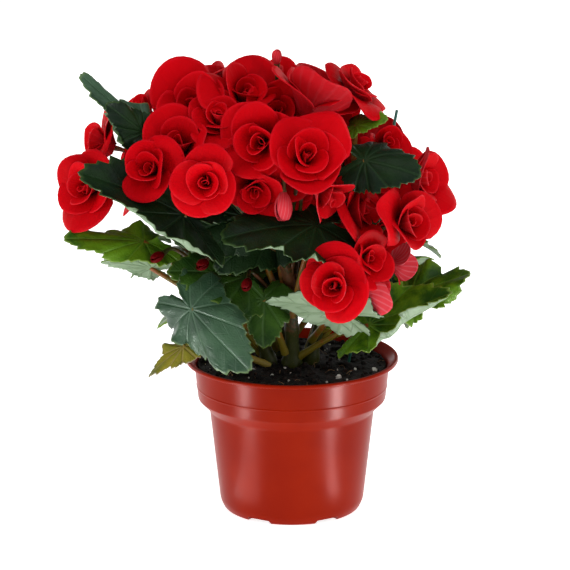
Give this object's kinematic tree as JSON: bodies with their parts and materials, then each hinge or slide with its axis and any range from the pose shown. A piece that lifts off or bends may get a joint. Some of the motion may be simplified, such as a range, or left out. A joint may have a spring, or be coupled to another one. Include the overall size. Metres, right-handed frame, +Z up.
{
  "type": "potted begonia",
  "caption": "Double-flowered red begonia with broad serrated leaves, growing in a round plastic nursery pot that stands on its flat floor.",
  "frame": {"origin": "centre of the pot's floor, on the plane that the pot stands on", "axes": "+Z up along the pot's axis, -Y towards the front of the plant, +X to the plant's right as it is seen from the front"},
  "size_m": [0.2495, 0.1695, 0.2844],
  "materials": {
    "pot": "glossy moulded terracotta-red plastic",
    "soil": "moist dark potting soil with white grains",
    "stake": "dark green painted stick",
    "stem": "fleshy green-brown stem",
    "leaf": "waxy dark green, pale below",
    "withered_leaf": "dry yellow-brown",
    "petal": "velvety red",
    "bud": "smooth pinkish red"
  },
  "bodies": {
    "root": {"pot": "pot", "soil": "soil", "stake": "stake", "stem_left": "stem", "stem_front": "stem", "stem_right": "stem", "stem_back": "stem", "leaf_centre": "leaf", "leaf_left_arm": "leaf", "leaf_hanging": "leaf", "leaf_small_front": "leaf", "leaf_dark_left": "leaf", "leaf_under_centre": "leaf", "leaf_right_low": "leaf", "leaf_right_outer": "leaf", "leaf_right_upper": "leaf", "leaf_right_top": "leaf", "leaf_top_left": "leaf", "leaf_left_low": "leaf", "leaf_left_under": "leaf", "leaf_withered": "withered_leaf", "leaf_back_left_low": "leaf", "leaf_back_right_low": "leaf", "leaf_back_middle": "leaf", "leaf_back_left_high": "leaf", "leaf_back_right_high": "leaf", "leaf_right_back": "leaf", "flower_front_right": "petal", "flower_front_left": "petal", "flower_low_right": "petal", "flower_front_mid": "petal", "flower_left_front": "petal", "flower_right_front": "petal", "flower_right_inner": "petal", "flower_mid_small": "petal", "flower_mid_low": "petal", "flower_left_upper": "petal", "flower_upper_mid": "petal", "flower_top_left": "petal", "flower_top_mid": "petal", "flower_top_front": "petal", "flower_top_back": "petal", "flower_top_right": "petal", "flower_right_upper": "petal", "flower_right_side": "petal", "flower_low_small": "petal", "flower_left_side": "petal", "flower_left_back": "petal", "flower_left_top": "petal", "flower_back_top_left": "petal", "flower_back_top_right": "petal", "flower_back_left": "petal", "flower_back_mid_left": "petal", "flower_back_mid_right": "petal", "flower_back_right": "petal", "flower_back_low": "petal", "bud_mid": "bud", "bud_top": "bud", "bud_back": "bud"}
  },
  "joints": []
}
